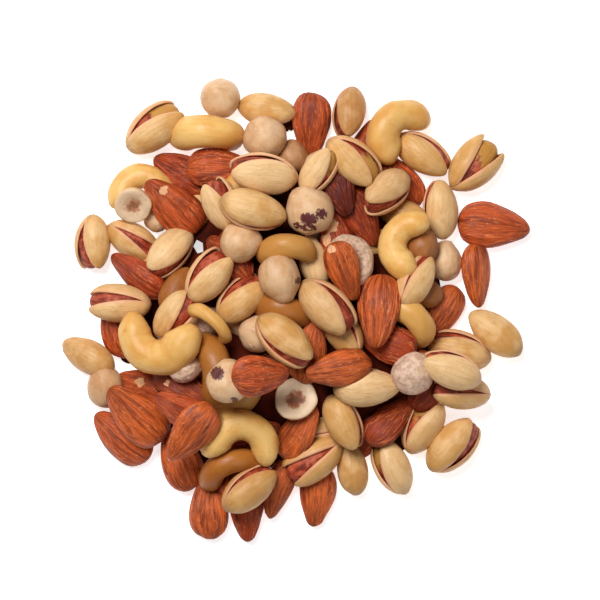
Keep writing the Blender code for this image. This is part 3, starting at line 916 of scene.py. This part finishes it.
def almond_finish():
    skin = Finish("almond_skin", "almond_skin")
    own, grain = skin.spaces()
    ridge = skin.noise(grain, 1.2)
    fine = skin.noise(grain, 3.6, 3, 0.6)
    crest = skin.crests(skin.noise(grain, 1.7), 0.05)
    tint = skin.read("tint")
    # Painted light and shade: almonds on top of the heap take the ridge colour, almonds deep in it the
    # groove colour
    skin.coat(tint.above(0.5, 1.0) * 0.8, "almond_ridge")
    skin.coat((1 - tint).above(0.4, 1.0) * 0.8, "almond_groove")
    skin.coat(skin.noise(own, 0.16).above(0.45, 0.7) * 0.45, "almond_groove")
    # Painted shade in the grooves of the relief, and painted highlight in the ridge colour along its
    # crests
    skin.coat((1 - ridge.above(0.34, 0.56)) * 0.7, "almond_groove")
    skin.coat((1 - fine.above(0.36, 0.56)) * 0.5, "almond_groove")
    skin.coat(crest * 0.65, "almond_ridge")
    # Dust on the skin, laid along the crests, partly a painted highlight
    dust_and_highlight = skin.noise(own, 1.4, 3, 0.7).above(0.50, 0.68) * skin.noise(own, 0.25, 1).above(0.38, 0.6)
    skin.coat(dust_and_highlight * (crest + 0.2) * 0.6, "dust_and_highlight")
    edge = skin.noise(own, 0.9, 3, 0.6)
    bare = (skin.read("mark") + (edge - 0.5) * 0.9).above(0.50, 0.62)
    skin.coat(bare, "flesh")
    relief = ridge * 0.8 + crest * 0.2 + fine * 0.5 - bare * 0.3
    return skin.toasted_and_shaded(ridge * 0.2 + 0.36, relief, 0.7 * MM, 1.0)


def shell_finish():
    shell = Finish("pistachio_shell", "shell")
    own, grain = shell.spaces()
    tint = shell.read("tint")
    shell.coat(shell.noise(own, 0.17).above(0.38, 0.64), "shell_tan")
    # Tint is partly painted shade: shells deep in the heap turn tan, shells on top pale
    shell.coat(tint.above(0.5, 1.0) * 0.8, "shell_tan")
    shell.coat((1 - tint).above(0.5, 1.0) * 0.6, "shell_pale")
    vein = shell.crests(shell.noise(grain, 1.1, 3, 0.6), 0.045)
    shell.coat(vein * 0.22, "shell_tan", 0.6)
    smudge = shell.noise(own, 0.55, 3, 0.65).above(0.56, 0.74)
    shell.coat(smudge * 0.25, "shell_tan", 0.6)
    speck = shell.noise(own, 1.3, 2, 0.6).above(0.70, 0.76)
    shell.coat(speck * 0.6, "shell_tan", 0.3)
    shell.coat(shell.read("inside") * 0.8, "shell_inside")
    shell.coat(shell.read("rim").above(0.1, 0.9) * 0.6, "shell_rim")
    base = shell.read("mark") + (shell.noise(own, 0.5) - 0.5) * 0.4
    shell.coat(base.above(0.1, 0.9) * 0.5, "scar")
    relief = vein * 0.25 + shell.noise(own, 0.7, 3, 0.55) * 0.5
    return shell.toasted_and_shaded(0.46, relief, 0.35 * MM, 0.6)


def kernel_finish():
    kernel = Finish("pistachio_kernel", "kernel_red", 0.4)
    own, grain = kernel.spaces()
    wrinkle = kernel.noise(grain, 1.6, 4, 0.65)
    patch = kernel.noise(own, 0.35, 3, 0.6)
    green = kernel.read("tint") * kernel.read("mark") + (patch - 0.5) * 1.2
    # The dimmed base stays in the wrinkle creases as painted shade, and pink on the wrinkle tops is
    # painted highlight; the pink patches are the kernel's own tone
    kernel.coat(wrinkle.above(0.35, 0.60), "kernel_red")
    kernel.coat(patch.above(0.45, 0.62) * 0.7, "kernel_pink")
    kernel.coat(wrinkle.above(0.56, 0.70) * 0.6, "kernel_pink")
    kernel.coat(green.above(0.5, 0.8), "kernel_green")
    return kernel.toasted_and_shaded(0.5, wrinkle, 0.6 * MM, 0.9)


def cashew_finish():
    cashew = Finish("cashew", "cashew")
    own, grain = cashew.spaces()
    cashew.coat(cashew.noise(own, 0.16, 3, 0.55).above(0.36, 0.66), "cashew_roast")
    # Painted shade in the roast colour, on cashews deep in the heap
    cashew.coat(cashew.read("tint"), "cashew_roast", 0.85)
    streak = cashew.noise(grain, 1.8, 3, 0.6).above(0.54, 0.72)
    cashew.coat(streak * 0.28, "cashew_roast", 0.72)
    speck = cashew.noise(own, 1.1).above(0.71, 0.76)
    cashew.coat(speck * 0.5, "cashew_roast", 0.3)
    rough = cashew.chalked(own, cashew.noise(own, 0.3, 4, 0.7) + cashew.read("mark") * 0.5)
    relief = cashew.noise(own, 0.5, 3) * 0.6 + cashew.noise(grain, 2.2) * 0.25 + rough
    return cashew.toasted_and_shaded(0.42, relief, 0.4 * MM, 0.6)


def hazelnut_finish():
    nut = Finish("hazelnut", "hazelnut")
    own, grain = nut.spaces()
    nut.coat(nut.noise(own, 0.2, 3, 0.6).above(0.38, 0.66), "hazelnut_tan")
    vein = nut.noise(grain, 1.7, 3, 0.65)
    nut.coat(vein.above(0.55, 0.72) * 0.35, "hazelnut_tan", 0.6)
    rough = nut.chalked(own, nut.noise(own, 0.2, 4, 0.65) + nut.read("tint") * 0.5)
    clear = 1 - nut.read("tint").above(0.3, 0.5) * 0.7
    nut.coat(nut.read("inside") * clear * 0.6, "cut_face")
    rim = nut.read("rim")
    hollow = rim * 1.2 + (nut.noise(own, 0.5, 4, 0.6) - 0.5) * 1.6 * rim.above(0, 0.3)
    nut.coat(hollow.above(0.1, 0.6) * clear, "hollow")
    # The hollow's brown is the nut's own; its darker middle is painted shade in the recess
    nut.coat(hollow.above(0.5, 0.9) * clear * 0.8, "hollow", 0.4)
    scrap = (nut.read("mark") * 1.2 + (nut.noise(own, 1.4, 4, 0.75) - 0.5) * 2.4).above(0.66, 0.82)
    nut.coat(scrap, "scrap")
    relief = nut.noise(own, 0.45, 4, 0.6) * 0.8 + vein * 0.3 + scrap * 0.2 + rough
    return nut.toasted_and_shaded(0.45 - scrap * 0.12, relief, 0.5 * MM, 0.7)


def mound_shade_finish():
    # Painted shade: the mound is near black, like the deep gaps between the nuts
    mound = Finish("under_nuts", "almond_groove", 0.2, shine=0.08)
    tone = mound.noise(mound.add("TexCoord", result="Object"), 90, 3)
    mound.coat(tone.above(0.35, 0.65), "almond_groove", 0.6)
    return mound.done(0.8, tone, 1 * MM, 0.6)


def floor_finish():
    floor = Finish("stage_floor", "floor")
    tone = floor.noise(floor.add("TexCoord", result="Object"), 3)
    floor.plug(floor.shader.inputs["Emission Color"], floor.colour)
    floor.plug(floor.shader.inputs["Emission Strength"], FLOOR_GLOW)
    floor.coat(tone * 0.02, "floor", 0.97)
    return floor.done(0.9)


# Settings that a user would change


def size_property(name, description, default):
    """One length, or a vector of three."""
    kind = bpy.props.FloatVectorProperty if isinstance(default, tuple) else bpy.props.FloatProperty
    return kind(name=name, description=description, default=default, min=0, unit="LENGTH")


def colour_property(name, description, red, green, blue):
    """A colour that is stated in the display's own steps of 0 to 255."""
    linear = [((part / 255 + 0.055) / 1.055) ** 2.4 for part in (red, green, blue)]
    return bpy.props.FloatVectorProperty(
        name=name, description=description, subtype="COLOR", size=4, min=0, max=1, default=(*linear, 1)
    )


class NutSizes(bpy.types.PropertyGroup):
    almond: size_property("Almond", "Length, width and thickness of an almond", ALMOND)
    pistachio: size_property("Pistachio", "Length, width and depth of a closed pistachio", PISTACHIO)
    hazelnut: size_property("Hazelnut", "Length, width and thickness of a hazelnut", HAZELNUT)
    shell_wall: size_property("Shell wall", "Thickness of a pistachio's shell", 0.9 * MM)
    cashew_thickness: size_property("Cashew", "Thickness of a cashew at its middle", CASHEW_THICKNESS)
    cashew_bend: size_property("Cashew bend", "Radius of a cashew's bend", CASHEW_BEND_RADIUS)


class NutColours(bpy.types.PropertyGroup):
    almond_skin: colour_property("Almond skin", "Skin of an almond between its ridges", 181, 64, 22)
    # The groove and ridge colours also serve as painted shade in the grooves and on almonds deep in the
    # heap, and as painted highlight on the crests and on almonds on top
    almond_groove: colour_property("Almond groove", "Its grooves, and dark almonds", 103, 32, 12)
    almond_ridge: colour_property("Almond ridge", "Its ridges, and light almonds", 219, 107, 45)
    # Dust is partly a painted highlight along the almond's crests
    dust_and_highlight: colour_property("Dust", "Dust in the ridges of an almond", 228, 158, 116)
    flesh: colour_property("Flesh", "Where an almond's skin has rubbed off", 232, 172, 124)
    shell: colour_property("Shell", "Pale parts of a pistachio's shell", 220, 176, 119)
    shell_pale: colour_property("Pale shells", "The palest shells", 230, 192, 143)
    shell_tan: colour_property("Shell tan", "Darker parts of the shell", 203, 149, 82)
    shell_inside: colour_property("Shell inside", "Inside of the shell", 206, 160, 116)
    shell_rim: colour_property("Shell rim", "Split edge of the shell", 222, 160, 124)
    scar: colour_property("Scar", "Where a pistachio hung from its stalk", 150, 104, 62)
    kernel_red: colour_property("Kernel red", "Skin of the kernel", 152, 52, 24)
    # Kernel pink on the wrinkle tops is painted highlight
    kernel_pink: colour_property("Kernel pink", "Ridges of the kernel", 200, 98, 66)
    kernel_green: colour_property("Kernel green", "Where the kernel's skin is green", 186, 130, 56)
    cashew: colour_property("Cashew", "Pale parts of a cashew", 228, 182, 108)
    cashew_roast: colour_property("Cashew roast", "Roasted parts of a cashew", 218, 160, 82)
    # Toast also stands for painted shade on nuts that lie deep in the heap
    toast_and_shade: colour_property("Toast", "What the colour of a toasted nut is multiplied by", 190, 150, 110)
    chalk: colour_property("Chalk", "Whitish bloom on a nut", 226, 192, 170)
    hazelnut: colour_property("Hazelnut", "Pale parts of a skinned hazelnut", 216, 178, 138)
    hazelnut_tan: colour_property("Hazelnut tan", "Darker parts of a skinned hazelnut", 204, 156, 108)
    cut_face: colour_property("Cut face", "Cut face of a halved hazelnut", 232, 210, 180)
    hollow: colour_property("Hollow", "Hollow in a cut hazelnut", 166, 98, 62)
    scrap: colour_property("Scrap", "Scraps of dark skin on a hazelnut", 92, 44, 44)
    floor: colour_property("Floor", "The surface under the heap", 238, 238, 238)


# One operator for each group of pieces


class HEAP_OT_mound(bpy.types.Operator):
    """Adds the dark mound that shows between the nuts, its dark colour painted shade for the gaps"""

    bl_idname = "heap.mound"
    bl_label = "Mound"

    def execute(self, context):
        obj = ball(96, 49, MOUND_BALL_RADIUS)
        obj.name = "mound"
        scale_all(obj, 1, 1, MOUND_FLATNESS)
        # lobes of the dark mound, painted shade in gaps past its edge
        for x, y, reach in SHADE_LOBE_SPOTS:
            lobe = ball(24, 13, reach * GRID_STEP)
            scale_all(lobe, 1, 1, LOBE_FLATNESS)
            lobe.location = (*grid_place(x, y), 0)
            combine(obj, "UNION", lobe)
        with editing(obj):
            bpy.ops.mesh.bisect(
                plane_co=(0, 0, MOUND_CUT), plane_no=(0, 0, -1), use_fill=True, clear_outer=True
            )
        clouds = bpy.data.textures.new("nuts_below", "CLOUDS")
        clouds.noise_scale = MOUND_BUMPS
        modify(obj, "DISPLACE", texture=clouds, strength=MOUND_BUMP_HEIGHT, mid_level=0.8, direction="Z")
        bpy.data.textures.remove(clouds)
        with editing(obj, lambda point: point.z < MOUND_FOOT):
            bpy.ops.transform.resize(value=(1, 1, 0), center_override=(0, 0, MOUND_FOOT))
        for x, y in CLEAR_SPOTS:
            bpy.ops.mesh.primitive_cylinder_add(
                vertices=5,
                radius=CLEAR_RADIUS,
                depth=SHAFT_DEPTH,
                location=(*grid_place(x, y), 0),
                rotation=(0, 0, SHAFT_TURN),
                scale=SHAFT_SQUASH,
            )
            combine(obj, "DIFFERENCE", context.object)
        deselect_all()
        obj.select_set(True)
        bpy.ops.object.shade_smooth()
        obj.data.materials.append(mound_shade_finish())
        dress(obj, "almond_skin")
        return {"FINISHED"}


class HEAP_OT_almonds(bpy.types.Operator):
    """Adds the almonds in their skins"""

    bl_idname = "heap.almonds"
    bl_label = "Almonds"

    def execute(self, context):
        batch, model = Batch(), almond_model()
        for draw, nut, place in nuts_of("almond"):
            local = model.points * (nut.size, nut.size * nut.extra, nut.size)
            local = ridges(uneven(local, draw, ALMOND_SWELL), draw, *ALMOND_RIDGES)
            # random tone, painted lighter on top of the heap and at its edge, and darker as painted
            # shade deep in it
            tint = draw.uniform(0, 0.45) + 0.55 * in_the_light(nut)
            if is_listed(nut, PALE_NUTS):
                tint = 1
            # an almond painted darkest, as painted shade deep in the heap, takes the groove colour all
            # over
            elif toast_and_shade_of(nut) > DEEP_SHADE_SHARE:
                tint = 0
            world = placed(local, place)
            batch.add(nut, model, world, draw, tint, near_spots(world, BARE_SPOTS))
        batch.finish("almonds", almond_finish(), "almond_skin")
        return {"FINISHED"}


class HEAP_OT_pistachios(bpy.types.Operator):
    """Adds the pistachios: two half shells that open from the base, and the kernel in them"""

    bl_idname = "heap.pistachios"
    bl_label = "Pistachios"

    def execute(self, context):
        shells, kernels = Batch(), Batch()
        shell, kernel = shell_model(), kernel_model()
        length = context.scene.nut_sizes.pistachio[0]
        for draw, nut, place in nuts_of("pistachio"):
            hinge = Vector((SHELLS_PART * length * nut.size, 0, 0))
            # random tone, with more tan as painted shade for shells deep in the heap
            tint = draw.uniform(0.1, 0.8) + 0.2 * (1 - in_the_light(nut))
            if is_listed(nut, PALE_NUTS):
                tint = 0
            scar = np.clip(1 - (shell.points[:, 0] / length + 0.5) * 6, 0, 1)
            for side in (1, -1):
                half = uneven(shell.points * nut.size, draw, PISTACHIO_SWELL)
                spin = Matrix.Rotation(0 if side == 1 else math.pi, 4, "X")
                swing = Matrix.Rotation(side * math.radians(max(nut.extra, LEAST_GAPE)) / 2, 4, "Z")
                opened = place @ Matrix.Translation(hinge) @ swing @ Matrix.Translation(-hinge) @ spin
                shells.add(nut, shell, placed(half, opened), draw, tint, scar)
            green = 1 if is_listed(nut, GREEN_KERNELS) else draw.uniform(0, 0.3)
            snug = KERNEL_WIDTH + KERNEL_WIDENS * min(nut.extra / WIDE_GAPE, 1)
            meat = kernel.points * (nut.size, nut.size * snug, nut.size * 0.94)
            tip = smooth_step(kernel.points[:, 0] / length, -0.25, 0.35)
            meat = ridges(uneven(meat, draw, PISTACHIO_SWELL), draw, *KERNEL_RIDGES)
            kernels.add(nut, kernel, placed(meat, place), draw, green, tip)
        shells.finish("pistachio_shells", shell_finish(), "pistachio_shell")
        kernels.finish("pistachio_kernels", kernel_finish(), "pistachio_kernel")
        return {"FINISHED"}


class HEAP_OT_cashews(bpy.types.Operator):
    """Adds the cashews"""

    bl_idname = "heap.cashews"
    bl_label = "Cashews"

    def execute(self, context):
        batch, model = Batch(), cashew_model()
        bend = context.scene.nut_sizes.cashew_bend
        middle = (1 - CASHEW_MIDDLE) * bend
        angle = model.straight[:, 0] / bend
        spine = np.stack([np.sin(angle), np.cos(angle) - 1, np.zeros_like(angle)], axis=1) * bend
        for draw, nut, place in nuts_of("cashew"):
            around = (model.points * (1, -1, -1) - spine) * nut.extra * PLUMP
            local = uneven(spine + around, draw, CASHEW_SWELL)
            local = (local + np.array((0, middle, 0))) * nut.size
            # painted shade in the roast colour, of random strength, for cashews deep in the heap
            cashew_painted_shade = draw.uniform(0.5, 0.9) * (1 - in_the_light(nut))
            if is_listed(nut, PALE_NUTS):
                cashew_painted_shade = 0
            waxy = 1 if is_listed(nut, WAXY_NUTS) else 0
            batch.add(nut, model, placed(local, place), draw, cashew_painted_shade, waxy)
        batch.finish("cashews", cashew_finish(), "cashew")
        return {"FINISHED"}


class HEAP_OT_hazelnuts(bpy.types.Operator):
    """Adds the skinned hazelnuts, with two that are cut in half"""

    bl_idname = "heap.hazelnuts"
    bl_label = "Hazelnuts"

    def execute(self, context):
        batch = Batch()
        for kind, model in (("hazelnut", hazelnut_model()), ("half", hazelnut_half_model())):
            for draw, nut, place in nuts_of(kind):
                local = model.points * (nut.size * nut.extra, nut.size, nut.size)
                local = uneven(local, draw, HAZELNUT_SWELL)
                if kind == "hazelnut":
                    local = ridges(local, draw, *HAZELNUT_RIDGES)
                chalk = draw.uniform(0, 0.3)
                if is_listed(nut, PATCHY_NUTS):
                    chalk = PATCHY_CHALK
                elif is_listed(nut, WAXY_NUTS):
                    chalk = WAXY_CHALK
                world = placed(local, place)
                batch.add(nut, model, world, draw, chalk, near_spots(world, DARK_SPOTS))
        batch.finish("hazelnuts", hazelnut_finish(), "hazelnut")
        return {"FINISHED"}


class HEAP_OT_stage(bpy.types.Operator):
    """Adds the pale floor, the soft light and the camera straight above"""

    bl_idname = "heap.stage"
    bl_label = "Stage"

    def execute(self, context):
        deselect_all()
        bpy.ops.mesh.primitive_plane_add(size=FLOOR_WIDTH)
        floor = context.object
        floor.name = "floor"
        floor.data.materials.append(floor_finish())
        scene = context.scene
        scene.view_settings.view_transform = "Standard"
        world = bpy.data.worlds.new("studio")
        world.use_nodes = True
        background = world.node_tree.nodes["Background"]
        background.inputs["Color"].default_value = (1, 1, 1, 1)
        background.inputs["Strength"].default_value = WORLD_STRENGTH
        scene.world = world
        add_light(*KEY_LIGHT)
        add_light(*FILL_LIGHT)
        place = (*grid_place(*GRID_MIDDLE), CAMERA_HEIGHT)
        bpy.ops.object.camera_add(location=place, rotation=(0, 0, 0))
        camera = context.object
        camera.data.sensor_width = SENSOR
        camera.data.lens = SENSOR * CAMERA_HEIGHT / (GRID_WIDTH * GRID_STEP)
        scene.camera = camera
        return {"FINISHED"}


def add_light(name, place, size, power):
    bpy.ops.object.light_add(type="AREA", location=place)
    light = bpy.context.object
    light.name = name
    light.data.shape = "DISK"
    light.data.size = size
    light.data.energy = power
    aim = -Vector(place)
    light.rotation_euler = aim.to_track_quat("-Z", "Y").to_euler()


class HEAP_PT_nuts(bpy.types.Panel):
    bl_label = "Heap of Mixed Nuts"
    bl_idname = "HEAP_PT_nuts"
    bl_space_type = "VIEW_3D"
    bl_region_type = "UI"
    bl_category = "Nuts"

    def draw(self, context):
        for group in (context.scene.nut_sizes, context.scene.nut_colours):
            for name in group.__annotations__:
                self.layout.prop(group, name)
        for operator in OPERATORS:
            self.layout.operator(operator.bl_idname)


OPERATORS = (
    HEAP_OT_mound,
    HEAP_OT_almonds,
    HEAP_OT_pistachios,
    HEAP_OT_cashews,
    HEAP_OT_hazelnuts,
    HEAP_OT_stage,
)
CLASSES = (NutSizes, NutColours, *OPERATORS, HEAP_PT_nuts)


def register():
    for cls in CLASSES:
        bpy.utils.register_class(cls)
    bpy.types.Scene.nut_sizes = bpy.props.PointerProperty(type=NutSizes)
    bpy.types.Scene.nut_colours = bpy.props.PointerProperty(type=NutColours)


def unregister():
    del bpy.types.Scene.nut_colours
    del bpy.types.Scene.nut_sizes
    for cls in reversed(CLASSES):
        bpy.utils.unregister_class(cls)


def main():
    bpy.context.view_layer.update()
    register()
    bpy.ops.heap.mound()
    bpy.ops.heap.almonds()
    bpy.ops.heap.pistachios()
    bpy.ops.heap.cashews()
    bpy.ops.heap.hazelnuts()
    bpy.ops.heap.stage()


if __name__ == "__main__":
    main()
